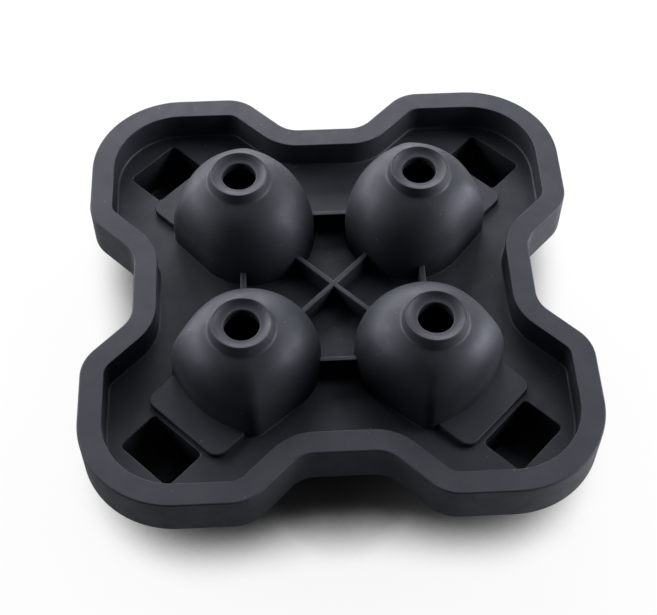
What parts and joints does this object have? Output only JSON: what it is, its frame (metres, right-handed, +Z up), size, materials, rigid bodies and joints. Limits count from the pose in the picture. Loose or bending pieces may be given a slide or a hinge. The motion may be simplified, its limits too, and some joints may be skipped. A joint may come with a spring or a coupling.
{
  "type": "skull ice mould",
  "caption": "Two-piece silicone ice mould: a clover-shaped lid with domes, filler necks and an overflow rim plugs into a lower half whose cups shape the skulls' faces.",
  "frame": {"origin": "on the table under the middle of the mould", "axes": "+Z up through the filler necks, +X to the right, +Y away from the viewer of the picture"},
  "size_m": [0.1284, 0.1284, 0.0484],
  "materials": {
    "silicone": "matte moulded silicone, dark charcoal"
  },
  "bodies": {
    "lower_half": {"lower_flange": "silicone", "face_cup_back_right": "silicone", "face_cup_back_left": "silicone", "face_cup_front_left": "silicone", "face_cup_front_right": "silicone"},
    "upper_half": {"upper_rim": "silicone", "basin_floor": "silicone", "stiffening_ribs": "silicone", "dome_back_right": "silicone", "dome_back_left": "silicone", "dome_front_left": "silicone", "dome_front_right": "silicone", "peg_back_right": "silicone", "peg_back_left": "silicone", "peg_front_left": "silicone", "peg_front_right": "silicone"}
  },
  "joints": [
    {"name": "lid_lift", "type": "slide", "parent": "lower_half", "child": "upper_half", "axis": [0, 0, 1], "range_m": [0, 0.06]}
  ]
}
